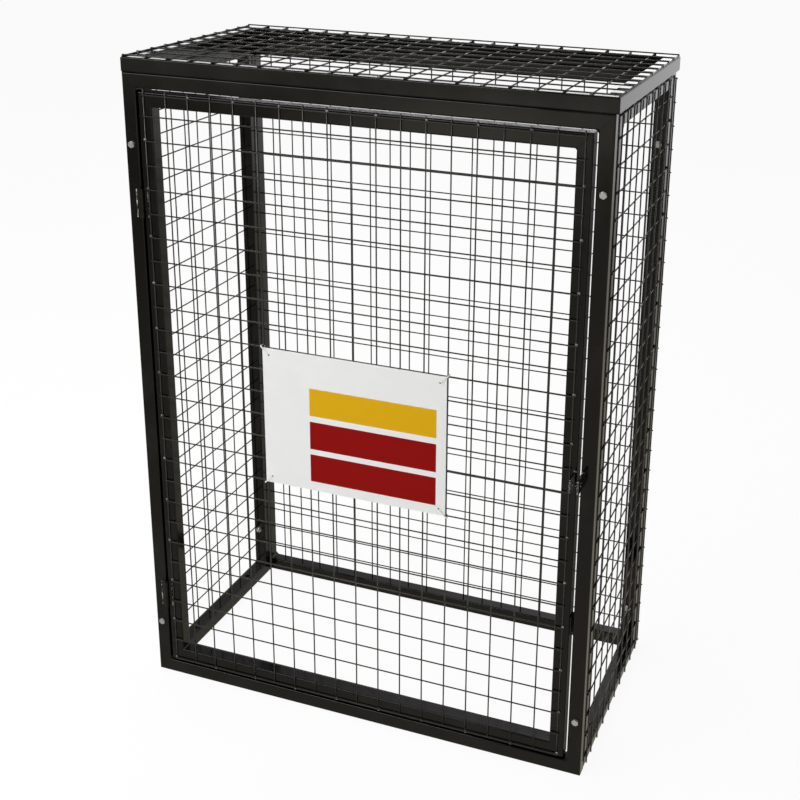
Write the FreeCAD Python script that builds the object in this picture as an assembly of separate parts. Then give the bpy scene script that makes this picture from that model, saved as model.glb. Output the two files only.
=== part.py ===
"""Lockable store for upright gas cylinders: bolted frames of square tube with welded wire mesh and a hinged door."""
import math
import os

import FreeCAD
import Part

os.makedirs("parts", exist_ok=True)

# Overall size in mm. X runs along the width, Y from the door to the rear, Z up from the floor.
WIDTH = 1000.0
DEPTH = 510.0
BODY_HEIGHT = 1375.0

# One square tube is used for every frame.
TUBE = 30.0
WALL = 1.5
TUBE_CORNER = 3.0

# The lid frame is flush on the left and stands over the right side a little.
LID_OVERHANG = 6.0

# The door fills the front opening with a gap on each side.
GAP_HINGE = 5.0
GAP_LOCK = 8.0
GAP_TOP = 6.0
GAP_BOTTOM = 5.0

# Welded mesh: round wire drawn as square bars of equal section, in two layers pressed together.
PITCH = 50.0
WIRE = 3.0
BAR = WIRE * math.sqrt(math.pi) / 2
WELD_SINK = 0.4
MESH_THICK = 2 * BAR - WELD_SINK
WIRE_END = 3.0
MESH_GAP = 0.5
DOOR_MESH_MARGIN = 6.0

# Side sheets have a short first row and column of cells and long wire ends at the bottom and front.
SIDE_MESH_IN = 8.0
SIDE_FIRST_CELL = 36.0
SIDE_MESH_BOTTOM = 27.0
SIDE_MESH_TOP_IN = 7.0
SIDE_END_BOTTOM = 20.0
SIDE_END_FRONT = 8.0

# Rear sheets start close to the floor and have a short last column of cells.
REAR_MESH_BOTTOM = 8.0
REAR_MESH_IN = 5.0

# Hinges stand on the front faces, over the gap at the door's left edge.
HINGE_HEIGHT = 62.0
HINGE_FROM_BOTTOM = 170.0
HINGE_FROM_TOP = 228.0
HINGE_LEAF = 2.5
HINGE_REACH = 11.5
KNUCKLE_R = 5.0
KNUCKLE_OFF = 5.2
KNUCKLE_GAP = 0.5
PIN_R = 3.0
PIN_CLEARANCE = 0.08

# Padlock lugs, one on the frame and one on the door.
LUG_THICK = 4.0
LUG_OUT = 36.0
LUG_HEIGHT = 30.0
LUG_DROP = 15.5
LUG_CORNER = 3.0
LUG_HOLE_OUT = 20.0
LUG_HOLE_R = 5.0
LUG_INSET = 2.0

# Rubber buffer on the door's free edge.
BUFFER_THICK = 3.0
BUFFER_HEIGHT = 40.0
BUFFER_DEPTH = 24.0
BUFFER_FROM_BOTTOM = 311.0

# Sign plate tied to the front of the door mesh.
SIGN_WIDTH = 400.0
SIGN_HEIGHT = 300.0
SIGN_THICK = 2.0
SIGN_RISE = 3.5
SIGN_HOLE_R = 2.0
SIGN_HOLE_IN = 14.0

# Holes for ground anchors in the side bottom rails.
ANCHOR_R = 5.0
ANCHOR_SPACING = 250.0

# Edges worked out from the sizes above.
FRONT = -DEPTH / 2
REAR = DEPTH / 2
DOOR_LEFT = -WIDTH / 2 + TUBE + GAP_HINGE
DOOR_RIGHT = WIDTH / 2 - TUBE - GAP_LOCK
DOOR_BOTTOM = TUBE + GAP_BOTTOM
DOOR_TOP = BODY_HEIGHT - TUBE - GAP_TOP
DOOR_MIDDLE = (DOOR_BOTTOM + DOOR_TOP) / 2
PIN_X = DOOR_LEFT - GAP_HINGE / 2
PIN_Y = FRONT - KNUCKLE_OFF
LUG_Z = DOOR_MIDDLE - LUG_DROP
SIGN_Z = DOOR_MIDDLE + SIGN_RISE


def save(shape, node):
    """Write one node."""
    shape.exportStep("parts/" + node + ".step")


def box(low, high):
    """A box between two corners."""
    size = [b - a for a, b in zip(low, high)]
    return Part.makeBox(*size, FreeCAD.Vector(*low))


def point(plane, u, v, w):
    """A point at u, v in the plane of a frame and w across it."""
    order = {"XZ": (u, w, v), "YZ": (w, u, v), "XY": (u, v, w)}
    return FreeCAD.Vector(*order[plane])


def prism(plane, outline, near, far):
    """A flat outline of u, v pairs carried from near to far across its plane."""
    corners = [point(plane, u, v, near) for u, v in outline]
    face = Part.Face(Part.makePolygon(corners + corners[:1]))
    return face.extrude(point(plane, 0, 0, far) - point(plane, 0, 0, near))


def rod(plane, along, across, ends, near, far, radius):
    """A straight bar along u or v with its long edges rounded."""
    pairs = (across, ends) if along == "v" else (ends, across)
    made = box(point(plane, pairs[0][0], pairs[1][0], near), point(plane, pairs[0][1], pairs[1][1], far))
    long_edges = [edge for edge in made.Edges if edge.Length > ends[1] - ends[0] - 0.01]
    return made.makeFillet(radius, long_edges)


def tube_frame(plane, low, high, near, far):
    """Four mitred tubes round the rectangle low to high, as left, right, bottom and top."""
    (u0, v0), (u1, v1) = low, high
    t = TUBE
    outlines = {
        "left": [(u0, v0), (u0, v1), (u0 + t, v1 - t), (u0 + t, v0 + t)],
        "right": [(u1, v0), (u1, v1), (u1 - t, v1 - t), (u1 - t, v0 + t)],
        "bottom": [(u0, v0), (u1, v0), (u1 - t, v0 + t), (u0 + t, v0 + t)],
        "top": [(u0, v1), (u1, v1), (u1 - t, v1 - t), (u0 + t, v1 - t)],
    }
    runs = {
        "left": ("v", (u0, u0 + t), (v0, v1)),
        "right": ("v", (u1 - t, u1), (v0, v1)),
        "bottom": ("u", (v0, v0 + t), (u0, u1)),
        "top": ("u", (v1 - t, v1), (u0, u1)),
    }
    tubes = {}
    for side, (along, across, ends) in runs.items():
        outer = rod(plane, along, across, ends, near, far, TUBE_CORNER)
        narrow = (across[0] + WALL, across[1] - WALL)
        longer = (ends[0] - 1, ends[1] + 1)
        bore = rod(plane, along, narrow, longer, near + WALL, far - WALL, TUBE_CORNER - WALL)
        tubes[side] = outer.cut(bore).common(prism(plane, outlines[side], near, far))
    return tubes


def bars(plane, along, places, start, end, near, far):
    """Parallel square bars; along says which plane direction they run in."""
    made = []
    for place in places:
        if along == "u":
            rows = [(start, place - BAR / 2), (end, place - BAR / 2), (end, place + BAR / 2), (start, place + BAR / 2)]
        else:
            rows = [(place - BAR / 2, start), (place + BAR / 2, start), (place + BAR / 2, end), (place - BAR / 2, end)]
        made.append(prism(plane, rows, near, far))
    return made


def mesh(plane, columns, rows, face, outward, column_span, row_span, inner="v"):
    """Welded mesh lying on a face: the inner layer touches it and the outer one is pressed on."""
    inner_layer = sorted((face, face + outward * BAR))
    outer_start = face + outward * (BAR - WELD_SINK)
    outer_layer = sorted((outer_start, outer_start + outward * BAR))
    column_layer, row_layer = (inner_layer, outer_layer) if inner == "v" else (outer_layer, inner_layer)
    wires = bars(plane, "v", columns, column_span[0], column_span[1], *column_layer)
    wires += bars(plane, "u", rows, row_span[0], row_span[1], *row_layer)
    return wires[0].multiFuse(wires[1:])


def spaced(first, last):
    """Wire places from first to last at the mesh pitch, with a short last cell where one is left."""
    count = int((last - first) / PITCH + 0.001)
    places = [first + PITCH * i for i in range(count + 1)]
    if last - places[-1] > PITCH / 2:
        places.append(last)
    return places


# Front and rear frames
for name, near in (("front", FRONT), ("rear", REAR - TUBE)):
    tubes = tube_frame("XZ", (-WIDTH / 2, 0), (WIDTH / 2, BODY_HEIGHT), near, near + TUBE)
    save(tubes["left"], name + "_left_post")
    save(tubes["right"], name + "_right_post")
    save(tubes["bottom"], name + "_bottom_rail")
    save(tubes["top"], name + "_top_rail")

# Side frames between them, with anchor holes through the bottom rails
SIDE_FRONT = FRONT + TUBE
SIDE_REAR = REAR - TUBE
for name, near in (("left", -WIDTH / 2), ("right", WIDTH / 2 - TUBE)):
    tubes = tube_frame("YZ", (SIDE_FRONT, 0), (SIDE_REAR, BODY_HEIGHT), near, near + TUBE)
    rail = tubes["bottom"]
    for y in (-ANCHOR_SPACING / 2, ANCHOR_SPACING / 2):
        place = FreeCAD.Vector(near + TUBE / 2, y, -1)
        rail = rail.cut(Part.makeCylinder(ANCHOR_R, TUBE + 2, place))
    save(tubes["left"], name + "_front_post")
    save(tubes["right"], name + "_rear_post")
    save(rail, name + "_bottom_rail")
    save(tubes["top"], name + "_top_rail")

# Lid frame on top of the four frames
LID_LEFT = -WIDTH / 2
LID_RIGHT = WIDTH / 2 + LID_OVERHANG
LID_TOP = BODY_HEIGHT + TUBE
tubes = tube_frame("XY", (LID_LEFT, FRONT), (LID_RIGHT, REAR), BODY_HEIGHT, LID_TOP)
save(tubes["left"], "lid_left_rail")
save(tubes["right"], "lid_right_rail")
save(tubes["bottom"], "lid_front_rail")
save(tubes["top"], "lid_rear_rail")

# Door frame
tubes = tube_frame("XZ", (DOOR_LEFT, DOOR_BOTTOM), (DOOR_RIGHT, DOOR_TOP), FRONT, FRONT + TUBE)
save(tubes["left"], "door_hinge_post")
save(tubes["right"], "door_lock_post")
save(tubes["bottom"], "door_bottom_rail")
save(tubes["top"], "door_top_rail")

# Side mesh on the outer faces of the side frames
first = SIDE_FRONT + SIDE_MESH_IN
side_columns = [first] + spaced(first + SIDE_FIRST_CELL, SIDE_REAR - WIRE_END)
side_rows = spaced(SIDE_MESH_BOTTOM, BODY_HEIGHT - SIDE_MESH_TOP_IN)
column_span = (side_rows[0] - SIDE_END_BOTTOM, side_rows[-1] + WIRE_END)
row_span = (side_columns[0] - SIDE_END_FRONT, side_columns[-1] + WIRE_END)
for name, face, outward in (("left", -WIDTH / 2, -1), ("right", WIDTH / 2, 1)):
    save(mesh("YZ", side_columns, side_rows, face, outward, column_span, row_span, "u"), name + "_mesh")

# Rear mesh, in a lower and an upper sheet that meet in the middle of a row of cells
rear_columns = spaced(-WIDTH / 2 + REAR_MESH_IN, WIDTH / 2)
rear_rows = spaced(REAR_MESH_BOTTOM, BODY_HEIGHT - WIRE_END)
half = len(rear_rows) // 2
split = rear_rows[half] - PITCH / 2
row_span = (rear_columns[0] - WIRE_END, rear_columns[-1] + WIRE_END)
low_end = rear_rows[0] - WIRE_END
high_end = rear_rows[-1] + WIRE_END
save(mesh("XZ", rear_columns, rear_rows[:half], REAR, 1, (low_end, split), row_span), "rear_mesh_lower")
save(mesh("XZ", rear_columns, rear_rows[half:], REAR, 1, (split, high_end), row_span), "rear_mesh_upper")

# Door mesh on the front face, clear of the hinge leaves, ending in a short row of cells at the top
beside_leaf = HINGE_REACH - GAP_HINGE / 2 + WIRE_END + MESH_GAP
door_cells = int((DOOR_RIGHT - DOOR_LEFT - 2 * beside_leaf) / PITCH + 0.001)
door_margin = (DOOR_RIGHT - DOOR_LEFT - door_cells * PITCH) / 2
door_columns = spaced(DOOR_LEFT + door_margin, DOOR_RIGHT - door_margin)
door_rows = spaced(DOOR_BOTTOM + DOOR_MESH_MARGIN, DOOR_TOP - DOOR_MESH_MARGIN)
half = len(door_rows) // 2
split = door_rows[half] - PITCH / 2
row_span = (door_columns[0] - WIRE_END, door_columns[-1] + WIRE_END)
low_end = door_rows[0] - WIRE_END
high_end = door_rows[-1] + WIRE_END
save(mesh("XZ", door_columns, door_rows[:half], FRONT, -1, (low_end, split), row_span), "door_mesh_lower")
save(mesh("XZ", door_columns, door_rows[half:], FRONT, -1, (split, high_end), row_span), "door_mesh_upper")

# Lid mesh, with the long wires on top
lid_cells = int((LID_RIGHT - LID_LEFT) / PITCH)
lid_middle = (LID_LEFT + LID_RIGHT) / 2
lid_columns = spaced(lid_middle - lid_cells * PITCH / 2, lid_middle + lid_cells * PITCH / 2)
lid_rows_count = int(DEPTH / PITCH)
lid_rows = spaced(-lid_rows_count * PITCH / 2, lid_rows_count * PITCH / 2)
column_span = (lid_rows[0] - WIRE_END, lid_rows[-1] + WIRE_END)
row_span = (lid_columns[0] - BAR / 2, lid_columns[-1] + BAR / 2)
save(mesh("XY", lid_columns, lid_rows, LID_TOP, 1, column_span, row_span), "lid_mesh")


def knuckle(bottom, top):
    """A solid stretch of hinge barrel."""
    return Part.makeCylinder(KNUCKLE_R, top - bottom, FreeCAD.Vector(PIN_X, PIN_Y, bottom))


def leaf(side, bottom, top):
    """A hinge leaf on the front face, reaching in to the barrel."""
    ends = sorted((PIN_X, PIN_X + side * HINGE_REACH))
    return box((ends[0], FRONT - HINGE_LEAF, bottom), (ends[1], FRONT, top))


# Hinges: the frame carries the pin and the outer knuckles, the door the middle one
frame_halves = []
door_halves = []
for centre in (DOOR_BOTTOM + HINGE_FROM_BOTTOM, DOOR_TOP - HINGE_FROM_TOP):
    bottom = centre - HINGE_HEIGHT / 2
    top = centre + HINGE_HEIGHT / 2
    low = bottom + HINGE_HEIGHT / 3
    high = top - HINGE_HEIGHT / 3
    pin_hole = Part.makeCylinder(PIN_R + PIN_CLEARANCE, HINGE_HEIGHT, FreeCAD.Vector(PIN_X, PIN_Y, bottom))
    slot = box((PIN_X - KNUCKLE_R - KNUCKLE_GAP, PIN_Y - KNUCKLE_R, low - KNUCKLE_GAP),
               (PIN_X + KNUCKLE_R, FRONT, high + KNUCKLE_GAP))
    pin = Part.makeCylinder(PIN_R, HINGE_HEIGHT, FreeCAD.Vector(PIN_X, PIN_Y, bottom))
    frame_side = leaf(-1, bottom, top).cut(slot)
    frame_halves.append(frame_side.multiFuse([knuckle(bottom, low - KNUCKLE_GAP), knuckle(high + KNUCKLE_GAP, top), pin]))
    clear_low = box((PIN_X - KNUCKLE_R, PIN_Y - KNUCKLE_R, bottom),
                    (PIN_X + KNUCKLE_R + KNUCKLE_GAP, FRONT, low))
    clear_high = box((PIN_X - KNUCKLE_R, PIN_Y - KNUCKLE_R, high),
                     (PIN_X + KNUCKLE_R + KNUCKLE_GAP, FRONT, top))
    door_side = leaf(1, bottom, top).cut(clear_low).cut(clear_high)
    door_halves.append(door_side.fuse(knuckle(low, high)).cut(pin_hole))
save(Part.makeCompound(frame_halves), "frame_hinges")
save(Part.makeCompound(door_halves), "door_hinges")


def lug(left):
    """A padlock lug: a drilled plate standing out of the front face, with eased outer corners."""
    low = LUG_Z - LUG_HEIGHT / 2
    plate = box((left, FRONT - LUG_OUT, low), (left + LUG_THICK, FRONT, low + LUG_HEIGHT))
    outer = [edge for edge in plate.Edges
             if all(abs(v.Y - (FRONT - LUG_OUT)) < 0.01 for v in edge.Vertexes)
             and abs(edge.Vertexes[0].Z - edge.Vertexes[1].Z) < 0.01]
    plate = plate.makeFillet(LUG_CORNER, outer)
    place = FreeCAD.Vector(left - 1, FRONT - LUG_HOLE_OUT, LUG_Z)
    return plate.cut(Part.makeCylinder(LUG_HOLE_R, LUG_THICK + 2, place, FreeCAD.Vector(1, 0, 0)))


# Padlock lugs face each other across the gap at the lock side
save(lug(WIDTH / 2 - TUBE + LUG_INSET), "frame_lug")
save(lug(DOOR_RIGHT - LUG_INSET - LUG_THICK), "door_lug")

# Buffer stuck to the door's free edge
low = DOOR_BOTTOM + BUFFER_FROM_BOTTOM - BUFFER_HEIGHT / 2
middle_y = FRONT + TUBE / 2
save(box((DOOR_RIGHT, middle_y - BUFFER_DEPTH / 2, low),
         (DOOR_RIGHT + BUFFER_THICK, middle_y + BUFFER_DEPTH / 2, low + BUFFER_HEIGHT)), "door_buffer")

# Sign plate against the outer wires of the door mesh
sign_x = (DOOR_LEFT + DOOR_RIGHT) / 2
sign_back = FRONT - MESH_THICK
plate = box((sign_x - SIGN_WIDTH / 2, sign_back - SIGN_THICK, SIGN_Z - SIGN_HEIGHT / 2),
            (sign_x + SIGN_WIDTH / 2, sign_back, SIGN_Z + SIGN_HEIGHT / 2))
for side in (-1, 1):
    for end in (-1, 1):
        place = FreeCAD.Vector(sign_x + side * (SIGN_WIDTH / 2 - SIGN_HOLE_IN), sign_back - SIGN_THICK - 1,
                               SIGN_Z + end * (SIGN_HEIGHT / 2 - SIGN_HOLE_IN))
        plate = plate.cut(Part.makeCylinder(SIGN_HOLE_R, SIGN_THICK + 2, place, FreeCAD.Vector(0, 1, 0)))
save(plate, "sign_plate")
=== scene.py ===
"""Looks of a lockable outdoor store for gas cylinders: tube frames, welded wire mesh and a hinged door."""
import math

import bpy
from mathutils import Matrix, Vector


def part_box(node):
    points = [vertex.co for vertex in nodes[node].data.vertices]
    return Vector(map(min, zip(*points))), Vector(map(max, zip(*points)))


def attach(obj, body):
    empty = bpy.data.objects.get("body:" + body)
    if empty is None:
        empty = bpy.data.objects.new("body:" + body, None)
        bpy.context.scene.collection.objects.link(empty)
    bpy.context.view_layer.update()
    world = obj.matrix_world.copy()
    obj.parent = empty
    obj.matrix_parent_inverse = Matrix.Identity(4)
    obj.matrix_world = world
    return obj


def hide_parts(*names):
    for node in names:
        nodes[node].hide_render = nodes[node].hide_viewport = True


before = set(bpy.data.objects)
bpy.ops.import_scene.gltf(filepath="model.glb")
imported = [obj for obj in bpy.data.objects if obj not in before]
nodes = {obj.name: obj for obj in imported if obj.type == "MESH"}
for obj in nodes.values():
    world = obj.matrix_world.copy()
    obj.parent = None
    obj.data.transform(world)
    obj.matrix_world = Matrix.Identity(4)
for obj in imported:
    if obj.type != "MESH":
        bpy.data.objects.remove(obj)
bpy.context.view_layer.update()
scene = bpy.context.scene

# Camera
# It stands to the right of the door and looks down on the lid. The shift keeps the framing of the picture.
camera_data = bpy.data.cameras.new("camera")
camera_data.sensor_width = 36.0
camera_data.lens = 58.6
camera_data.shift_x = -0.0744
camera_data.shift_y = -0.1465
camera = bpy.data.objects.new("camera", camera_data)
camera.location = (1.0173, -2.4225, 1.8119)
camera.rotation_euler = [math.radians(a) for a in (71.356, -0.957, 20.561)]
scene.collection.objects.link(camera)
scene.camera = camera

# Powder coat on the tubes
# Every tube is coated in glossy black powder, baked on. It flows into a faint orange peel over the slow
# waves of the rolled wall, dulls in cloudy patches, and holds fine pale dust and a few small scuffs.
COAT_BLACK = (0.0020, 0.0020, 0.0020, 1)
COAT_CLOUDED = (0.0070, 0.0066, 0.0061, 0)
DUST = (0.030, 0.028, 0.025, 1)
SPECK_AND_GLINT_SHARE = 0.25
DULLER_PATCH = 0.06
DULLER_WORN = 0.35


def add_node(tree, kind, settings=None, **inputs):
    """A shader node with its settings and its input values or links, by socket name or i and a number."""
    made = tree.nodes.new(kind)
    for key, value in (settings or {}).items():
        setattr(made, key, value)
    for key, value in inputs.items():
        numbered = key[0] == "i" and key[1:].isdigit()
        socket = made.inputs[int(key[1:])] if numbered else made.inputs[key.replace("_", " ")]
        if isinstance(value, bpy.types.NodeSocket):
            tree.links.new(value, socket)
        else:
            socket.default_value = value
    return made


def combine(tree, operation, *values, clamp=False):
    """The result of a sum, product or comparison of values."""
    numbered = {f"i{i}": value for i, value in enumerate(values)}
    settings = {"operation": operation, "use_clamp": clamp}
    return add_node(tree, "ShaderNodeMath", settings, **numbered).outputs[0]


def noise(tree, place, scale, detail, roughness=0.5):
    """Cloudy noise over a place, from 0 to 1."""
    made = add_node(tree, "ShaderNodeTexNoise", None, Vector=place, Scale=scale, Detail=detail,
                    Roughness=roughness)
    return made.outputs["Fac"]


def grey(level):
    """A colour without a hue."""
    return (level, level, level, 1)


def ramp(tree, source, low, high, dark=grey(0), light=grey(1)):
    """A value spread from a dark to a light colour between two places."""
    made = add_node(tree, "ShaderNodeValToRGB", None, Fac=source)
    made.color_ramp.elements[0].position = low
    made.color_ramp.elements[1].position = high
    made.color_ramp.elements[0].color = dark
    made.color_ramp.elements[1].color = light
    return made.outputs["Color"]


def spread(tree, value, low, high, start, end):
    """A value spread from start to end between two places."""
    made = add_node(tree, "ShaderNodeMapRange", None, Value=value, From_Min=low, From_Max=high,
                    To_Min=start, To_Max=end)
    return made.outputs[0]


def blend(tree, share, under, over):
    """One colour laid over another by a share of it."""
    made = add_node(tree, "ShaderNodeMix", {"data_type": "RGBA"}, Factor=share)
    tree.links.new(under, made.inputs["A"])
    made.inputs["B"].default_value = over
    return made.outputs["Result"]


def bump(tree, height, distance, strength=1.0, **under):
    """The normal of a bumpy surface, over another bump where one is given."""
    made = add_node(tree, "ShaderNodeBump", None, Height=height, Strength=strength, Distance=distance,
                    **under)
    return made.outputs["Normal"]


def start_material(name):
    """A new material with its node tree, shader and object coordinates."""
    made = bpy.data.materials.new(name)
    made.use_nodes = True
    tree = made.node_tree
    place = tree.nodes.new("ShaderNodeTexCoord").outputs["Object"]
    return made, tree, tree.nodes["Principled BSDF"], place


def powder_coat(name, gloss, peel, wave, ior=1.42, black=COAT_BLACK, marks_and_glints=DUST, marks_and_glints_range=(0.76, 0.82),
                marks_and_glints_scale=60.0):
    """Glossy black powder coat. Gloss is its roughness, peel and wave are the depths of its bumps,
    marks_and_glints is the colour of its specks and worn spots, and marks_and_glints_range says from where to
    where the noise shows them. On the weld and bead coats these pale specks and spots are partly bare metal
    and partly painted glints."""
    made, tree, shader, place = start_material(name)
    cloud = noise(tree, place, scale=9.0, detail=5.0, roughness=0.6)
    speck = noise(tree, place, scale=300.0, detail=3.0, roughness=0.7)
    orange = noise(tree, place, scale=260.0, detail=1.0)
    slow = noise(tree, place, scale=22.0, detail=2.0)
    scuffs_and_glints = noise(tree, place, scale=marks_and_glints_scale, detail=6.0, roughness=0.75)
    tone = ramp(tree, cloud, 0.48, 0.74, black, [a + b for a, b in zip(black, COAT_CLOUDED)])
    # Specks and spots take the marks colour: dust and wear on the tubes, and on the welds partly painted
    # glints.
    specks_and_glints = combine(tree, "MULTIPLY", ramp(tree, speck, 0.74, 0.86), SPECK_AND_GLINT_SHARE)
    either = combine(tree, "MAXIMUM", specks_and_glints, ramp(tree, scuffs_and_glints, *marks_and_glints_range))
    tree.links.new(blend(tree, either, tone, marks_and_glints), shader.inputs["Base Color"])
    patchy = spread(tree, cloud, 0.3, 0.75, gloss, gloss + DULLER_PATCH)
    duller = combine(tree, "ADD", patchy, combine(tree, "MULTIPLY", either, DULLER_WORN), clamp=True)
    tree.links.new(duller, shader.inputs["Roughness"])
    waves = bump(tree, slow, wave)
    tree.links.new(bump(tree, orange, peel, Normal=waves), shader.inputs["Normal"])
    shader.inputs["IOR"].default_value = ior
    return made


def finish_node(name, material):
    """Gives a piece of the frame its finish."""
    nodes[name].data.materials.clear()
    nodes[name].data.materials.append(material)


tube_coat = powder_coat("tube_coat", 0.07, 0.000004, 0.00008)
for name in nodes:
    if name.endswith(("_post", "_rail")):
        finish_node(name, tube_coat)

# Corner welds
# The tubes are welded round their mitres and ground flush outside, which leaves a small rounded fillet of
# weld metal in each inner corner, as deep as the tube. One is modelled and copied into all the frames.
FILLET = 0.005
DOOR_FILLET = 0.0022
TUBE = 0.03


def extent(*names):
    """The low and high corner of the box round some nodes, to a hundredth of a millimetre."""
    boxes = [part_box(name) for name in names]
    low = [round(min(box[0][i] for box in boxes), 5) for i in range(3)]
    high = [round(max(box[1][i] for box in boxes), 5) for i in range(3)]
    return low, high


(LEFT_X, FRONT_Y, FLOOR_Z), (RIGHT_X, REAR_Y, TOP_Z) = extent("front_left_post", "rear_right_post")
(_, SIDE_FRONT_Y, _), (_, SIDE_REAR_Y, _) = extent("left_front_post", "left_rear_post")
(LID_LEFT_X, _, LID_LOW_Z), (LID_RIGHT_X, _, LID_TOP_Z) = extent("lid_left_rail", "lid_right_rail")
(DOOR_LEFT_X, _, DOOR_LOW_Z), (DOOR_RIGHT_X, _, DOOR_TOP_Z) = extent("door_hinge_post", "door_lock_post")

# Each frame has its plane, its outer corners in that plane and the face that it starts from.
cage_frames = [("XZ", (LEFT_X, FLOOR_Z), (RIGHT_X, TOP_Z), FRONT_Y),
               ("XZ", (LEFT_X, FLOOR_Z), (RIGHT_X, TOP_Z), REAR_Y - TUBE),
               ("YZ", (SIDE_FRONT_Y, FLOOR_Z), (SIDE_REAR_Y, TOP_Z), LEFT_X),
               ("YZ", (SIDE_FRONT_Y, FLOOR_Z), (SIDE_REAR_Y, TOP_Z), RIGHT_X - TUBE),
               ("XY", (LID_LEFT_X, FRONT_Y), (LID_RIGHT_X, REAR_Y), LID_LOW_Z)]
door_frames = [("XZ", (DOOR_LEFT_X, DOOR_LOW_Z), (DOOR_RIGHT_X, DOOR_TOP_Z), FRONT_Y)]


def select_none():
    """Leaves nothing selected and nothing in edit mode."""
    if bpy.context.object and bpy.context.object.mode != "OBJECT":
        bpy.ops.object.mode_set(mode="OBJECT")
    bpy.ops.object.select_all(action="DESELECT")


def select_only(*pieces):
    """Selects some pieces, the first of them active."""
    select_none()
    for piece in pieces:
        piece.select_set(True)
    bpy.context.view_layer.objects.active = pieces[0]


def settle(piece):
    """Puts the place, turn and scale of a piece into its mesh."""
    select_only(piece)
    bpy.ops.object.transform_apply(location=True, rotation=True, scale=True)
    return piece


def edit_all():
    """Opens the active piece in edit mode with all of it selected."""
    bpy.ops.object.mode_set(mode="EDIT")
    bpy.ops.mesh.select_all(action="SELECT")


def edit_none():
    """Opens the active piece in edit mode with none of it selected, and closes it again."""
    bpy.ops.object.mode_set(mode="EDIT")
    bpy.ops.mesh.select_all(action="DESELECT")
    bpy.ops.object.mode_set(mode="OBJECT")


def copy_of(piece, matrix):
    """A copy with a mesh of its own, moved by a matrix."""
    made = piece.copy()
    made.data = piece.data.copy()
    scene.collection.objects.link(made)
    made.data.transform(matrix)
    if matrix.determinant() < 0:
        made.data.flip_normals()
    return made


def merged(pieces):
    """Joins pieces into the first of them."""
    select_only(*pieces)
    if len(pieces) > 1:
        bpy.ops.object.join()
    return pieces[0]


def joined(pieces, name, material, body, angle=40.0):
    """Joins pieces into one with its material, smooth shading, body and slot."""
    whole = merged(pieces)
    whole.name = name
    whole.data.name = name
    whole.data.materials.clear()
    whole.data.materials.append(material)
    bpy.ops.object.shade_smooth_by_angle(angle=math.radians(angle))
    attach(whole, body)
    return whole


def corner_fillet():
    """A concave prism from the corner at the origin along +X and +Z, one tube deep along +Y."""
    select_none()
    bpy.ops.mesh.primitive_plane_add(size=FILLET, location=(0, 0, 0))
    piece = bpy.context.object
    edit_all()
    bpy.ops.transform.translate(value=(FILLET / 2, FILLET / 2, 0))
    bpy.ops.mesh.select_all(action="DESELECT")
    bpy.ops.object.mode_set(mode="OBJECT")
    for vertex in piece.data.vertices:
        vertex.select = vertex.co.x > FILLET * 0.9 and vertex.co.y > FILLET * 0.9
    bpy.ops.object.mode_set(mode="EDIT")
    bpy.ops.mesh.bevel(offset=FILLET * 0.96, segments=5, profile=0.12, affect="VERTICES")
    bpy.ops.mesh.select_all(action="SELECT")
    bpy.ops.mesh.extrude_region_move(TRANSFORM_OT_translate={"value": (0, 0, TUBE)})
    bpy.ops.mesh.select_all(action="SELECT")
    bpy.ops.mesh.normals_make_consistent(inside=False)
    bpy.ops.object.mode_set(mode="OBJECT")
    piece.data.transform(Matrix(((1, 0, 0, 0), (0, 0, 1, 0), (0, 1, 0, 0), (0, 0, 0, 1))))
    piece.data.flip_normals()
    return piece


def basis(origin, x_axis, y_axis, z_axis):
    """A matrix that carries the three axes to new ones."""
    columns = [Vector(a).to_4d() for a in (x_axis, y_axis, z_axis)]
    for column in columns:
        column.w = 0
    return Matrix((*columns, Vector(origin).to_4d())).transposed()


def place_on(plane, u, v, w):
    """A point at u, v in a plane and w across it."""
    return {"XZ": (u, w, v), "YZ": (w, u, v), "XY": (u, v, w)}[plane]


def frame_corners(low, high):
    """The four corners of a frame, each with the two directions from it into the frame."""
    return [(u, turn_u, v, turn_v) for u, turn_u in ((low[0], 1), (high[0], -1))
            for v, turn_v in ((low[1], 1), (high[1], -1))]


def fillets(pattern, frames, size=FILLET):
    """Fillets in the four inner corners of each frame."""
    made = []
    share = size / FILLET
    for plane, low, high, near in frames:
        for u, turn_u, v, turn_v in frame_corners(low, high):
            origin = place_on(plane, u + turn_u * TUBE, v + turn_v * TUBE, near)
            axes = (place_on(plane, turn_u * share, 0, 0), place_on(plane, 0, 0, 1),
                    place_on(plane, 0, turn_v * share, 0))
            made.append(copy_of(pattern, basis(origin, *axes)))
    return made


pattern = corner_fillet()
joined(fillets(pattern, cage_frames), "corner_welds_cage", tube_coat, "cage")
joined(fillets(pattern, door_frames, DOOR_FILLET), "corner_welds_door", tube_coat, "door")
bpy.data.objects.remove(pattern)

# Mitre seams
# Where two tubes meet at 45 degrees the weld is dressed down, but a low bead still shows through the coat
# on both flat faces of each frame. A bead is a long cylinder, flattened until it stands a hair proud.
SEAM_WIDTH = 0.0026
SEAM_HEIGHT = 0.00008
SEAM_INSET = 0.0026


def seam_bead():
    """A flat bead along +X, 1 m long, to be scaled to each seam."""
    select_none()
    bpy.ops.mesh.primitive_cylinder_add(vertices=10, radius=SEAM_WIDTH / 2, depth=1.0,
                                        rotation=(0, math.pi / 2, 0))
    piece = settle(bpy.context.object)
    edit_all()
    bpy.ops.transform.resize(value=(1, 2 * SEAM_HEIGHT / SEAM_WIDTH, 1))
    bpy.ops.object.mode_set(mode="OBJECT")
    return piece


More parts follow.
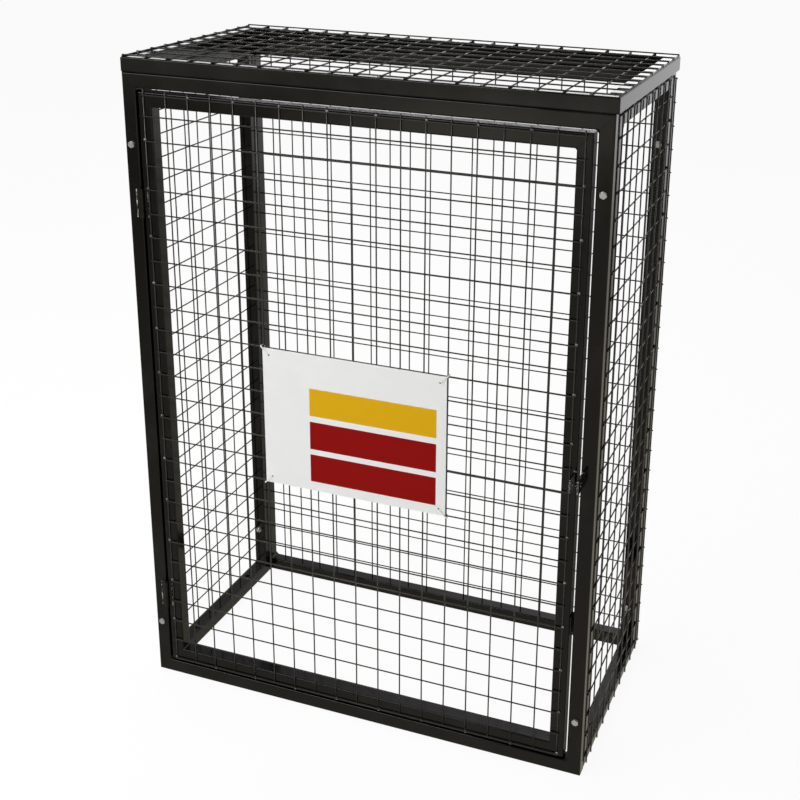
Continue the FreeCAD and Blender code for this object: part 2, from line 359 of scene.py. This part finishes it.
def seams(pattern, frames):
    """Beads across the four mitres of each frame, on both of its faces."""
    made = []
    for plane, low, high, near in frames:
        out = Vector(place_on(plane, 0, 0, 1))
        for u, turn_u, v, turn_v in frame_corners(low, high):
            for face in (near, near + TUBE):
                start, end = [Vector(place_on(plane, u + turn_u * along, v + turn_v * along, face))
                              for along in (SEAM_INSET, TUBE - SEAM_INSET)]
                run = end - start
                side = run.normalized().cross(out)
                made.append(copy_of(pattern, basis((start + end) / 2, run, out, side)))
    return made


pattern = seam_bead()
joined(seams(pattern, cage_frames), "mitre_seams_cage", tube_coat, "cage")
joined(seams(pattern, door_frames), "mitre_seams_door", tube_coat, "door")
bpy.data.objects.remove(pattern)

# Door mesh
# The sheet is 3 mm round wire, welded at every crossing into 50 mm squares, then cropped and coated. The
# upright wires lie on the tube and the level ones on top of them, each pressed a little into the next.
WIRE = 0.003
PITCH = 0.05
INNER_LAYER = 0.00125
OUTER_LAYER = 0.00342
CUT_EDGE = 0.0004
WIRE_END = 0.003
CROSSING_R = 0.00205
CROSSING_FLAT = 0.55
DOOR_WIRES_TOP = 1.3425
# The wires' coat is dark grey, lighter than the black on the tubes: painted highlight, for the light that the
# round wires catch.
lit_wire_coat = powder_coat("lit_wire_coat", 0.2, 0.000004, 0.0, 1.6, (0.027, 0.0258, 0.024, 1))


def repeat(piece, step, count):
    """Repeats a piece along a step with the array modifier, applied."""
    if count > 1:
        modifier = piece.modifiers.new("row", "ARRAY")
        modifier.use_relative_offset = False
        modifier.use_constant_offset = True
        modifier.constant_offset_displace = step
        modifier.count = count
        select_only(piece)
        bpy.ops.object.modifier_apply(modifier=modifier.name)
    return piece


def wires(plane, along, first, count, span, layer):
    """A row of equal wires at the mesh pitch, their cropped ends slightly eased."""
    start, end = span
    middle = (start + end) / 2
    centre = place_on(plane, middle, first, layer) if along == "u" else place_on(plane, first, middle, layer)
    direction = Vector(place_on(plane, 1, 0, 0) if along == "u" else place_on(plane, 0, 1, 0))
    turn = Vector((0, 0, 1)).rotation_difference(direction).to_euler()
    select_none()
    bpy.ops.mesh.primitive_cylinder_add(vertices=12, radius=WIRE / 2, depth=end - start, location=centre,
                                        rotation=turn)
    piece = bpy.context.object
    edit_none()
    for edge in piece.data.edges:
        ends = [piece.data.vertices[i].co.z for i in edge.vertices]
        edge.select = abs(ends[0] - ends[1]) < WIRE / 1000
    bpy.ops.object.mode_set(mode="EDIT")
    bpy.ops.mesh.bevel(offset=CUT_EDGE, segments=1, affect="EDGES")
    bpy.ops.object.mode_set(mode="OBJECT")
    settle(piece)
    step = place_on(plane, 0, PITCH, 0) if along == "u" else place_on(plane, PITCH, 0, 0)
    return repeat(piece, step, count)


def crossings(plane, columns, rows, layer):
    """The small swollen welds where two groups of wires cross."""
    select_none()
    bpy.ops.mesh.primitive_uv_sphere_add(segments=8, ring_count=5, radius=CROSSING_R,
                                         location=place_on(plane, columns[0], rows[0], layer),
                                         scale=place_on(plane, 1.0, 1.0, CROSSING_FLAT))
    piece = settle(bpy.context.object)
    repeat(piece, place_on(plane, PITCH, 0, 0), columns[1])
    return repeat(piece, place_on(plane, 0, PITCH, 0), rows[1])


def mesh_sheet(name, body, replaced, plane, face, outward, inner, columns, rows, column_span, row_span):
    """A whole sheet on a face. Columns run along v and rows along u. Each of their groups is the place of its
    first wire and the number of wires. Inner names the direction of the wires that lie on the tube."""
    layers = (face + outward * INNER_LAYER, face + outward * OUTER_LAYER)
    column_layer, row_layer = layers if inner == "v" else layers[::-1]
    made = [wires(plane, "v", first, count, column_span, column_layer) for first, count in columns]
    made += [wires(plane, "u", first, count, row_span, row_layer) for first, count in rows]
    made += [crossings(plane, upright, level, (column_layer + row_layer) / 2) for upright in columns
             for level in rows]
    sheet = joined(made, name, lit_wire_coat, body)
    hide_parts(*replaced)


door_mesh_nodes = ("door_mesh_lower", "door_mesh_upper")
(left, _, bottom), (right, _, top) = extent(*door_mesh_nodes)
mesh_sheet("door_mesh", "door", door_mesh_nodes, "XZ", FRONT_Y, -1, "v",
           columns=[(left + WIRE_END, 19)], rows=[(bottom + WIRE_END, 26), (top - WIRE_END, 1)],
           column_span=(bottom, DOOR_WIRES_TOP), row_span=(left, right))

# Side meshes
# The same sheet stock, cut for the side frames: level wires lie on the tube and upright wires outside them.
# Each sheet starts with a narrow column at the front and leaves long wire ends at the bottom.
SIDE_END_FRONT = 0.008
SIDE_END_BOTTOM = 0.020
SIDE_FIRST_CELL = 0.036
for name, face, outward in (("left_mesh", LEFT_X, -1), ("right_mesh", RIGHT_X, 1)):
    (_, near, bottom), (_, far, top) = extent(name)
    first_column = near + SIDE_END_FRONT
    mesh_sheet("side_" + name, "cage", (name,), "YZ", face, outward, "u",
               columns=[(first_column, 1), (first_column + SIDE_FIRST_CELL, 9)],
               rows=[(bottom + SIDE_END_BOTTOM, 27), (top - WIRE_END, 1)],
               column_span=(bottom, top), row_span=(near, far))

# Rear mesh
# One full sheet covers the back, its upright wires against the tube and its last column cut narrow.
rear_mesh_nodes = ("rear_mesh_lower", "rear_mesh_upper")
(left, _, bottom), (right, _, top) = extent(*rear_mesh_nodes)
mesh_sheet("rear_mesh", "cage", rear_mesh_nodes, "XZ", REAR_Y, 1, "v",
           columns=[(left + WIRE_END, 20), (right - WIRE_END, 1)], rows=[(bottom + WIRE_END, 28)],
           column_span=(bottom, top), row_span=(left, right))

# Lid mesh
# The lid's sheet lies on the lid frame with its long wires on top.
LID_WIRE_SPAN = (-0.4984, 0.5044)
LID_FIRST_COLUMN = -0.497
(_, near, _), (_, far, _) = extent("lid_mesh")
mesh_sheet("lid_cover_mesh", "cage", ("lid_mesh",), "XY", LID_TOP_Z, 1, "v",
           columns=[(LID_FIRST_COLUMN, 21)], rows=[(near + WIRE_END, 11)],
           column_span=(near, far), row_span=LID_WIRE_SPAN)

# Tack welds
# Every second wire end is tacked to its tube with a short blob of weld, coated over, so that the sheets show
# a line of small beads along each side. A blob is a flattened sphere, pressed into the tube. Its glossy coat
# has pale flecks, partly bare weld and partly painted glints.
TACK = 0.0034
TACK_FLAT = 0.75
TACK_OUT = 0.0012
# The pale fleck colour is partly bare weld and partly painted glint.
BARE_WELD_AND_GLINT = (0.40, 0.39, 0.37, 1)
weld_coat = powder_coat("weld_coat", 0.16, 0.00008, 0.0, 1.9, COAT_BLACK, BARE_WELD_AND_GLINT, (0.42, 0.66), 300.0)


def tacks(plane, along, first, count, lines, face, outward):
    """Lines of blobs at twice the mesh pitch. Each starts at first and lies at its own place across."""
    made = []
    for line in lines:
        u, v = (first, line) if along == "u" else (line, first)
        select_none()
        bpy.ops.mesh.primitive_uv_sphere_add(segments=12, ring_count=7, radius=TACK,
                                             location=place_on(plane, u, v, face + outward * TACK_OUT),
                                             scale=place_on(plane, 1.0, 1.0, TACK_FLAT))
        step = place_on(plane, 2 * PITCH, 0, 0) if along == "u" else place_on(plane, 0, 2 * PITCH, 0)
        made.append(repeat(settle(bpy.context.object), step, count))
    return made


door_tacks = tacks("XZ", "v", 0.0435, 13, (-0.4525, 0.4495), FRONT_Y, -1)
door_tacks += tacks("XZ", "u", -0.3505, 8, (0.0395, 1.3345), FRONT_Y, -1)
joined(door_tacks, "tack_welds_door", weld_coat, "door")
cage_tacks = tacks("XZ", "v", 0.058, 14, (-0.4965, 0.4985), REAR_Y, 1)
cage_tacks += tacks("XZ", "u", -0.445, 10, (0.0065, 1.3595), REAR_Y, 1)
for face, outward in ((LEFT_X, -1), (RIGHT_X, 1)):
    cage_tacks += tacks("YZ", "v", 0.077, 13, (-0.2185, 0.2205), face, outward)
    cage_tacks += tacks("YZ", "u", -0.131, 4, (0.0255, 1.3695), face, outward)
cage_tacks += tacks("XY", "u", -0.447, 10, (-0.2515, 0.2515), LID_TOP_Z, 1)
cage_tacks += tacks("XY", "v", -0.2, 5, (-0.4965, 0.5025), LID_TOP_Z, 1)
joined(cage_tacks, "tack_welds_cage", weld_coat, "cage")

# Zinc bolts and nuts
# M8 hexagon bolts in bright zinc hold the frames together at each corner, heads outside and nuts inside.
# A head is a six-sided block with its outer corners turned off, on a round bearing face.
BOLT_X = 0.485
BOLT_LOW = 0.129
BOLT_HIGH = 1.231
HEX_R = 0.0075
HEAD_HEIGHT = 0.0053
FACE_R = 0.0062
FACE_OUT = 0.0008
FACE_SUNK = 0.0005
HEAD_TURN = 17
NUT_HEIGHT = 0.0065
THREAD_R = 0.00385
THREAD_OUT = 0.0105
THREAD_GROOVES = 5
THREAD_DEPTH = 0.12
CONE_WIDE = 0.02
CONE_TIP = 0.0056
CONE_LONG = 0.0083
ZINC_BRIGHT = (0.80, 0.80, 0.79, 1)


def zinc():
    """Bright zinc plate, clouded and slightly scratched."""
    made, tree, shader, place = start_material("zinc_plate")
    cloud = noise(tree, place, scale=180.0, detail=4.0, roughness=0.65)
    scratch = noise(tree, place, scale=900.0, detail=2.0)
    tree.links.new(ramp(tree, cloud, 0.3, 0.75, grey(0.60), ZINC_BRIGHT), shader.inputs["Base Color"])
    tree.links.new(ramp(tree, cloud, 0.25, 0.8, grey(0.2), grey(0.38)), shader.inputs["Roughness"])
    tree.links.new(bump(tree, scratch, 0.00008, 0.5), shader.inputs["Normal"])
    shader.inputs["Metallic"].default_value = 0.85
    return made


def turn_off_corners(piece, level, turn):
    """Turns the six corners off one end by cutting with a wide cone."""
    select_none()
    bpy.ops.mesh.primitive_cone_add(vertices=48, radius1=CONE_WIDE, radius2=CONE_TIP, depth=CONE_LONG,
                                    rotation=(turn * math.pi / 2, 0, 0),
                                    location=(0, level + turn * CONE_LONG / 2, 0))
    cone = settle(bpy.context.object)
    modifier = piece.modifiers.new("chamfer", "BOOLEAN")
    modifier.operation = "INTERSECT"
    modifier.solver = "EXACT"
    modifier.object = cone
    select_only(piece)
    bpy.ops.object.modifier_apply(modifier=modifier.name)
    bpy.data.objects.remove(cone)


def hexagon(height, chamfer_both):
    """A hexagon standing on the plane y = 0 and growing along -Y, with its corners chamfered."""
    select_none()
    bpy.ops.mesh.primitive_cylinder_add(vertices=6, radius=HEX_R, depth=height, rotation=(math.pi / 2, 0, 0),
                                        location=(0, -height / 2, 0))
    piece = settle(bpy.context.object)
    turn_off_corners(piece, -height, 1)
    if chamfer_both:
        turn_off_corners(piece, 0.0, -1)
    return piece


def round_part(radius, near, far, grooves=0, depth=0.0):
    """A round stub along Y with an eased end and, where asked, thread grooves."""
    select_none()
    bpy.ops.mesh.primitive_cylinder_add(vertices=24, radius=radius, depth=far - near,
                                        rotation=(math.pi / 2, 0, 0), location=(0, (near + far) / 2, 0))
    piece = settle(bpy.context.object)
    edit_all()
    bpy.ops.mesh.bevel(offset=0.0004, segments=1, affect="EDGES", clamp_overlap=True)
    for i in range(grooves):
        y = near + (i + 1) * (far - near) / (grooves + 1)
        bpy.ops.mesh.select_all(action="SELECT")
        bpy.ops.mesh.bisect(plane_co=(0, y, 0), plane_no=(0, 1, 0))
        bpy.ops.transform.resize(value=(1 - depth, 1, 1 - depth))
    bpy.ops.object.mode_set(mode="OBJECT")
    return piece


zinc_plate = zinc()
head_parts = [hexagon(HEAD_HEIGHT, False), round_part(FACE_R, -FACE_OUT, FACE_SUNK)]
head = joined(head_parts, "bolt_head", zinc_plate, "cage", angle=30)
head.data.transform(Matrix.Rotation(math.radians(HEAD_TURN), 4, "Y"))
nut_parts = [hexagon(NUT_HEIGHT, True), round_part(THREAD_R, -THREAD_OUT, 0.0, THREAD_GROOVES, THREAD_DEPTH)]
nut = joined(nut_parts, "bolt_nut", zinc_plate, "cage", angle=30)
nut_y = SIDE_REAR_Y - TUBE
fasteners = []
for x in (-BOLT_X, BOLT_X):
    for z in (BOLT_LOW, BOLT_HIGH):
        spin = Matrix.Rotation(x * 3 + z, 4, "Y")
        back = Matrix.Rotation(math.pi, 4, "Z")
        fasteners.append(copy_of(head, Matrix.Translation((x, FRONT_Y, z)) @ spin))
        fasteners.append(copy_of(nut, Matrix.Translation((x, -nut_y, z)) @ back @ spin))
        fasteners.append(copy_of(head, Matrix.Translation((x, REAR_Y, z)) @ back @ spin))
        fasteners.append(copy_of(nut, Matrix.Translation((x, nut_y, z)) @ spin))
bpy.data.objects.remove(head)
bpy.data.objects.remove(nut)
joined(fasteners, "zinc_fasteners", zinc_plate, "cage", angle=30)

# Hinges
# Two small steel butt hinges stand over the gap at the left, welded to both front faces before coating.
HINGE_WORN = (0.06, 0.057, 0.052, 1)
hinge_coat = powder_coat("hinge_coat", 0.16, 0.00005, 0.0, 1.45, COAT_BLACK, HINGE_WORN, (0.58, 0.72), 240.0)
for name in ("frame_hinges", "door_hinges"):
    finish_node(name, hinge_coat)

# Padlock lugs
# Each lug is a short piece of flat bar with a drilled hole. Its sheared front edge is rough. There and round
# the hole the coat is painted pale in rough flecks, partly steel worn bare by the padlock and partly painted
# glints on the edge and the rim.
LUG_HOLE = (0.0, -0.275, 0.6715)
LUG_HOLE_R = 0.005
BARE_STEEL_AND_GLINT = (0.34, 0.33, 0.31, 1)


def distance(tree, place, spot):
    """How far a place lies from a fixed spot."""
    made = add_node(tree, "ShaderNodeVectorMath", {"operation": "DISTANCE"}, i0=place, i1=spot)
    return made.outputs["Value"]


def lug_finish():
    """The tubes' coat, with pale flecks on the front edge and the rim of the hole: worn steel and painted
    glints.
    """
    made = powder_coat("lug_coat", 0.09, 0.00002, 0.0)
    tree = made.node_tree
    shader = tree.nodes["Principled BSDF"]
    place = tree.nodes.new("ShaderNodeTexCoord").outputs["Object"]
    flat = add_node(tree, "ShaderNodeVectorMath", {"operation": "MULTIPLY"}, i0=place, i1=(0, 1, 1))
    away = distance(tree, flat.outputs[0], LUG_HOLE)
    rim = spread(tree, away, LUG_HOLE_R + 0.0004, LUG_HOLE_R + 0.0014, 1.0, 0.0)
    front_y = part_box("door_lug")[0].y
    edge = spread(tree, add_node(tree, "ShaderNodeSeparateXYZ", None, Vector=place).outputs["Y"],
                  front_y + 0.0003, front_y + 0.0012, 1.0, 0.0)
    rough = noise(tree, place, scale=330.0, detail=4.0, roughness=0.7)
    # Pale flecks on the edge and rim: padlock wear and painted glints.
    wear_and_glints = combine(tree, "MULTIPLY", combine(tree, "MAXIMUM", rim, edge), ramp(tree, rough, 0.46, 0.62))
    coated = shader.inputs["Base Color"].links[0].from_socket
    tree.links.new(blend(tree, wear_and_glints, coated, BARE_STEEL_AND_GLINT), shader.inputs["Base Color"])
    return made


lug_coat = lug_finish()
for name in ("frame_lug", "door_lug"):
    finish_node(name, lug_coat)

# Weld beads
# The hinge leaves are welded on with rippled beads, one short puddle on the next, and each padlock lug with
# one puddle over it and one under it. Pale patches in their coat are partly bare metal and partly painted
# glints.
BEAD_STEP = 0.0026
BEAD_SUNK = 0.0002
HINGE_MIDDLES = (0.205, 1.111)
HINGE_BEAD_HALF = 0.0285
FRAME_BEAD_X = -0.4794
FRAME_BEAD_R = 0.0033
DOOR_BEAD_X = -0.4560
DOOR_BEAD_R = 0.0016
LUG_BEADS = ((0.6562, 0.0034), (0.6868, 0.0036))
FRAME_LUG_X = 0.474
DOOR_LUG_X = 0.458
# The pale patch colour is partly bare metal and partly painted glint.
BEAD_METAL_AND_GLINT = (0.60, 0.57, 0.50, 1)
bead_coat = powder_coat("bead_coat", 0.16, 0.00008, 0.0, 1.65, COAT_BLACK, BEAD_METAL_AND_GLINT, (0.50, 0.58), 130.0)


def weld_bead(x, low, high, radius):
    """An upright rippled bead on the front faces."""
    select_none()
    bpy.ops.mesh.primitive_uv_sphere_add(segments=14, ring_count=9, radius=radius,
                                         location=(x, FRONT_Y - BEAD_SUNK, low), scale=(1.0, 0.75, 0.8))
    count = int((high - low) / BEAD_STEP) + 1
    return repeat(settle(bpy.context.object), (0, 0, BEAD_STEP), count)


frame_beads, door_beads = [], []
for middle in HINGE_MIDDLES:
    low, high = middle - HINGE_BEAD_HALF, middle + HINGE_BEAD_HALF
    frame_beads.append(weld_bead(FRAME_BEAD_X, low, high, FRAME_BEAD_R))
    door_beads.append(weld_bead(DOOR_BEAD_X, low, high, DOOR_BEAD_R))
for beads, x in ((frame_beads, FRAME_LUG_X), (door_beads, DOOR_LUG_X)):
    beads += [weld_bead(x, z, z, radius) for z, radius in LUG_BEADS]
joined(frame_beads, "hinge_and_lug_welds_cage", bead_coat, "cage")
joined(door_beads, "hinge_and_lug_welds_door", bead_coat, "door")

# Door buffer
# A soft black rubber pad is stuck on the door's free edge. It stands a few millimetres clear of the frame
# when the door is shut, and its outer edges are rounded.
PAD_ROUND = 0.0014
RUBBER_BLOOM = (0.035, 0.034, 0.033, 1)


def rubber():
    """Dull black rubber with a faint pebble and pale bloom."""
    made, tree, shader, place = start_material("buffer_rubber")
    bloom = noise(tree, place, scale=90.0, detail=5.0)
    grain = noise(tree, place, scale=1500.0, detail=2.0)
    tree.links.new(ramp(tree, bloom, 0.4, 0.8, grey(0.012), RUBBER_BLOOM), shader.inputs["Base Color"])
    tree.links.new(bump(tree, grain, 0.0001, 0.6), shader.inputs["Normal"])
    shader.inputs["Roughness"].default_value = 0.62
    return made


low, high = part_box("door_buffer")
select_none()
bpy.ops.mesh.primitive_cube_add(size=1, location=(low + high) / 2, scale=high - low)
pad = settle(bpy.context.object)
edit_none()
for edge in pad.data.edges:
    edge.select = any(pad.data.vertices[i].co.x > high.x - 1e-5 for i in edge.vertices)
bpy.ops.object.mode_set(mode="EDIT")
bpy.ops.mesh.bevel(offset=PAD_ROUND, segments=3, affect="EDGES")
bpy.ops.object.mode_set(mode="OBJECT")
soft_rubber = rubber()
pad = joined([pad], "buffer_pad", soft_rubber, "door")
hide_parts("door_buffer")

# Sign plate
# A white sheet of rigid plastic, printed with plain colour bars and left bare elsewhere.
SIGN_WHITE = (0.87, 0.87, 0.86, 1)
SIGN_GRIMY = (0.84, 0.84, 0.825, 1)
SIGN_YELLOW = (0.73, 0.405, 0.003, 1)
SIGN_RED = (0.275, 0.0015, 0.0008, 1)
BARS_X = (-0.098, 0.178)
PRINTED_Y = (-0.2625, -0.2610)
YELLOW_Z = (0.708, 0.768)
UPPER_RED_Z = (0.634, 0.695)
LOWER_RED_Z = (0.561, 0.622)


def printed_sign():
    """White plastic with one yellow and two red bars, set by height and width."""
    made, tree, shader, place = start_material("printed_sign")
    parts = add_node(tree, "ShaderNodeSeparateXYZ", None, Vector=place)

    def between(axis, limits):
        over = combine(tree, "GREATER_THAN", parts.outputs[axis], limits[0])
        under = combine(tree, "LESS_THAN", parts.outputs[axis], limits[1])
        return combine(tree, "MULTIPLY", over, under)

    grime = noise(tree, place, scale=14.0, detail=6.0, roughness=0.65)
    white = ramp(tree, grime, 0.3, 0.75, SIGN_WHITE, SIGN_GRIMY)
    wide = combine(tree, "MULTIPLY", between("X", BARS_X), between("Y", PRINTED_Y))
    yellow = combine(tree, "MULTIPLY", wide, between("Z", YELLOW_Z))
    red = combine(tree, "ADD", between("Z", UPPER_RED_Z), between("Z", LOWER_RED_Z))
    first = blend(tree, yellow, white, SIGN_YELLOW)
    second = blend(tree, combine(tree, "MULTIPLY", wide, red), first, SIGN_RED)
    tree.links.new(second, shader.inputs["Base Color"])
    tree.links.new(ramp(tree, grime, 0.3, 0.8, grey(0.32), grey(0.5)), shader.inputs["Roughness"])
    fine = noise(tree, place, scale=700.0, detail=1.0)
    tree.links.new(bump(tree, fine, 0.00004, 0.4), shader.inputs["Normal"])
    shader.inputs["IOR"].default_value = 1.18
    return made


finish_node("sign_plate", printed_sign())

# Sign washers
# A black rubber washer sits behind each corner hole of the plate, with a short stub that fills the hole. They
# are dark pieces where the holes show only shade: painted shade.
HOLE_IN = 0.014
WASHER_R = 0.0055
WASHER_THICK = 0.0010
WASHER_ROUND = 0.0003
PLATE_THICK = 0.002
STUB_R = 0.0019
STUB_SUNK = 0.0004
plate_low, plate_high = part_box("sign_plate")
select_none()
bpy.ops.mesh.primitive_cylinder_add(vertices=32, radius=WASHER_R, depth=WASHER_THICK,
                                    rotation=(math.pi / 2, 0, 0),
                                    location=(0, plate_low.y + PLATE_THICK + WASHER_THICK / 2, 0))
shade_washer = settle(bpy.context.object)
edit_all()
bpy.ops.mesh.bevel(offset=WASHER_ROUND, segments=2, affect="EDGES", clamp_overlap=True)
bpy.ops.object.mode_set(mode="OBJECT")
stub = round_part(STUB_R, plate_low.y + STUB_SUNK, plate_low.y + PLATE_THICK)
shade_washers = []
for x in (plate_low.x + HOLE_IN, plate_high.x - HOLE_IN):
    for z in (plate_low.z + HOLE_IN, plate_high.z - HOLE_IN):
        shade_washers += [copy_of(piece, Matrix.Translation((x, 0, z))) for piece in (shade_washer, stub)]
bpy.data.objects.remove(shade_washer)
bpy.data.objects.remove(stub)
joined(shade_washers, "sign_shade_washers", soft_rubber, "door")

# Sign ties
# A narrow white nylon tie at each corner goes through the plate's hole and round a crossing of the mesh, over
# the corner of the plate. Its small square lock sits behind the mesh.
TIE_WIDTH = 0.0026
TIE_THICK = 0.0010
TIE_BEYOND = 0.0055
TIE_OUT = HOLE_IN * math.sqrt(2) + TIE_BEYOND
TIE_START = (0.0011, 0.0006, 0)
TIE_STEPS = ((0.0009, -0.0018, 0), (TIE_OUT - 0.0040, 0, 0), (0.0018, 0.0012, 0), (0.0006, 0.0036, 0),
             (-0.0006, 0.0036, 0), (-0.0018, 0.0014, 0), (-TIE_OUT + 0.003, 0.0002, 0), (-0.0012, -0.0012, 0))
LOCK_PLACE = (0.006, 0.0098, 0)
LOCK_SIZE = (0.0046, 0.0036, 0.0044)
LOCK_ROUND = 0.0006


def nylon():
    """Milky white nylon with fine ribs of uneven shine."""
    made, tree, shader, place = start_material("tie_nylon")
    haze = noise(tree, place, scale=250.0, detail=3.0)
    tree.links.new(ramp(tree, haze, 0.3, 0.7, (0.78, 0.78, 0.75, 1), (0.88, 0.88, 0.86, 1)),
                   shader.inputs["Base Color"])
    tree.links.new(ramp(tree, haze, 0.3, 0.8, grey(0.3), grey(0.45)), shader.inputs["Roughness"])
    return made


def tie_loop():
    """A flat strap that runs out along +X from the hole, back behind the mesh and to the hole again."""
    select_none()
    bpy.ops.mesh.primitive_plane_add(size=1.0, rotation=(0, math.pi / 2, 0), location=(0, 0, 0))
    strap = settle(bpy.context.object)
    edit_all()
    bpy.ops.transform.resize(value=(1, TIE_THICK, TIE_WIDTH))
    bpy.ops.transform.translate(value=TIE_START)
    for step in TIE_STEPS:
        bpy.ops.mesh.extrude_region_move(TRANSFORM_OT_translate={"value": step})
    bpy.ops.mesh.select_all(action="SELECT")
    bpy.ops.mesh.normals_make_consistent(inside=False)
    select_none()
    bpy.ops.mesh.primitive_cube_add(size=1, location=LOCK_PLACE, scale=LOCK_SIZE)
    lock = settle(bpy.context.object)
    edit_all()
    bpy.ops.mesh.bevel(offset=LOCK_ROUND, segments=2, affect="EDGES")
    return merged([strap, lock])


pattern = tie_loop()
ties = []
for x, turn_x in ((plate_low.x, -1), (plate_high.x, 1)):
    for z, turn_z in ((plate_low.z, -1), (plate_high.z, 1)):
        hole = (x - turn_x * HOLE_IN, plate_low.y, z - turn_z * HOLE_IN)
        run = Vector((turn_x, 0, turn_z)).normalized()
        ties.append(copy_of(pattern, basis(hole, run, (0, 1, 0), run.cross(Vector((0, 1, 0))))))
bpy.data.objects.remove(pattern)
joined(ties, "sign_ties", nylon(), "door", angle=30)

# Studio floor
# A plain white floor reaches past the picture on all sides. What the coat mirrors of it is dim and warm in
# front, brighter to the right and far out, with one soft pool for the sheen on the top rails, and white
# behind.
FLOOR_SIZE = 60
FLOOR_UNDER = 0.0003
WHITE_SHARE = 0.93
WARM_FLOOR = (1.0, 0.93, 0.76, 1)
SHEEN_SPOT = (-1.9, -6.2, 0.0)


def mirror_ray(tree, path):
    """One for a ray that was mirrored or went through glass."""
    return combine(tree, "MAXIMUM", path.outputs["Is Glossy Ray"], path.outputs["Is Transmission Ray"])


def floor_white():
    """White floor that stays near white for the camera and keeps the shadow."""
    made, tree, shader, place = start_material("studio_floor")
    grain = noise(tree, place, scale=3.0, detail=3.0)
    tree.links.new(ramp(tree, grain, 0.2, 0.8, grey(0.80), grey(0.82)), shader.inputs["Base Color"])
    shader.inputs["Roughness"].default_value = 0.9
    shader.inputs["Specular IOR Level"].default_value = 0.0
    spot = add_node(tree, "ShaderNodeSeparateXYZ", None, Vector=place)
    path = tree.nodes.new("ShaderNodeLightPath")
    behind = spread(tree, spot.outputs["Y"], 1.5, 6.0, 0.0, 1.0)
    side = spread(tree, spot.outputs["X"], -3.0, 0.6, 0.19, 0.46)
    far = spread(tree, spot.outputs["Y"], -8.0, -5.5, 0.60, 0.20)
    away = distance(tree, place, SHEEN_SPOT)
    sheen = spread(tree, away, 0.3, 1.5, 0.8, 0.0)
    front = combine(tree, "ADD", combine(tree, "MAXIMUM", side, far), sheen)
    level = combine(tree, "MAXIMUM", front, behind)
    camera_ray = path.outputs["Is Camera Ray"]
    shown = combine(tree, "MAXIMUM", level, camera_ray)
    tint = ramp(tree, combine(tree, "MAXIMUM", behind, camera_ray), 0.0, 1.0, WARM_FLOOR)
    glow = add_node(tree, "ShaderNodeEmission", None, Color=tint, Strength=shown)
    share = combine(tree, "MULTIPLY_ADD", camera_ray, WHITE_SHARE, mirror_ray(tree, path))
    mixed = add_node(tree, "ShaderNodeMixShader", None, Fac=share, i1=shader.outputs[0], i2=glow.outputs[0])
    tree.links.new(mixed.outputs[0], tree.nodes["Material Output"].inputs["Surface"])
    return made


select_none()
bpy.ops.mesh.primitive_plane_add(size=FLOOR_SIZE, location=(0, 0, -FLOOR_UNDER))
floor = bpy.context.object
floor.name = "studio_floor"
floor.data.materials.append(floor_white())

# Studio walls
# The room is white to the camera and plain to soft light. In the coat it mirrors dark in front and at the
# left, and pale behind, so that the upward and right-hand faces turn pale while the front stays black.
ROOM = 0.35
WALL_DARK = 0.12
WALL_RISE = 0.88
world = bpy.data.worlds.new("studio")
world.use_nodes = True
scene.world = world
tree = world.node_tree
path = tree.nodes.new("ShaderNodeLightPath")
course = tree.nodes.new("ShaderNodeTexCoord").outputs["Generated"]
aim = add_node(tree, "ShaderNodeSeparateXYZ", None, Vector=course)
behind = spread(tree, aim.outputs["Y"], -0.1, 0.35, 0.0, 1.0)
above = spread(tree, aim.outputs["Z"], 0.05, 0.3, 1.0, 0.75)
aside = spread(tree, aim.outputs["X"], -0.5, -0.2, 0.1, 1.0)
wall = combine(tree, "MULTIPLY", combine(tree, "MULTIPLY", behind, above), aside)
mirrored = combine(tree, "MULTIPLY_ADD", wall, WALL_RISE, WALL_DARK - ROOM)
mirrored = combine(tree, "MULTIPLY_ADD", mirror_ray(tree, path), mirrored, ROOM)
level = combine(tree, "MAXIMUM", path.outputs["Is Camera Ray"], mirrored)
tree.nodes["Background"].inputs["Color"].default_value = grey(1)
tree.links.new(level, tree.nodes["Background"].inputs["Strength"])


# Studio lamps
# Three broad soft lamps: one behind, one above and one to the front left. The one above lights the coat
# without being mirrored in it, so the rounded edges of the tubes stay dark.
def lamp(name, place, aim, width, height, power):
    """A soft rectangular lamp aimed at a point, not seen by the camera."""
    data = bpy.data.lights.new(name, "AREA")
    data.shape = "RECTANGLE"
    data.size = width
    data.size_y = height
    data.energy = power
    made = bpy.data.objects.new(name, data)
    made.location = place
    made.rotation_euler = (Vector(aim) - Vector(place)).to_track_quat("-Z", "Y").to_euler()
    made.visible_camera = False
    scene.collection.objects.link(made)
    return made


lamp("lamp_back", (-2.7, 6.0, 2.2), (-2.7, 0, 2.2), 7.0, 0.88, 36)
top_lamp = lamp("lamp_top", (-1.5, -0.8, 3.6), (-1.4, -0.8, 0.0), 5.0, 2.8, 150)
top_lamp.visible_glossy = False
lamp("lamp_front", (-2.2, -4.2, 3.2), (0, -0.25, 0.75), 2.4, 1.2, 56)

scene.view_settings.view_transform = "Standard"
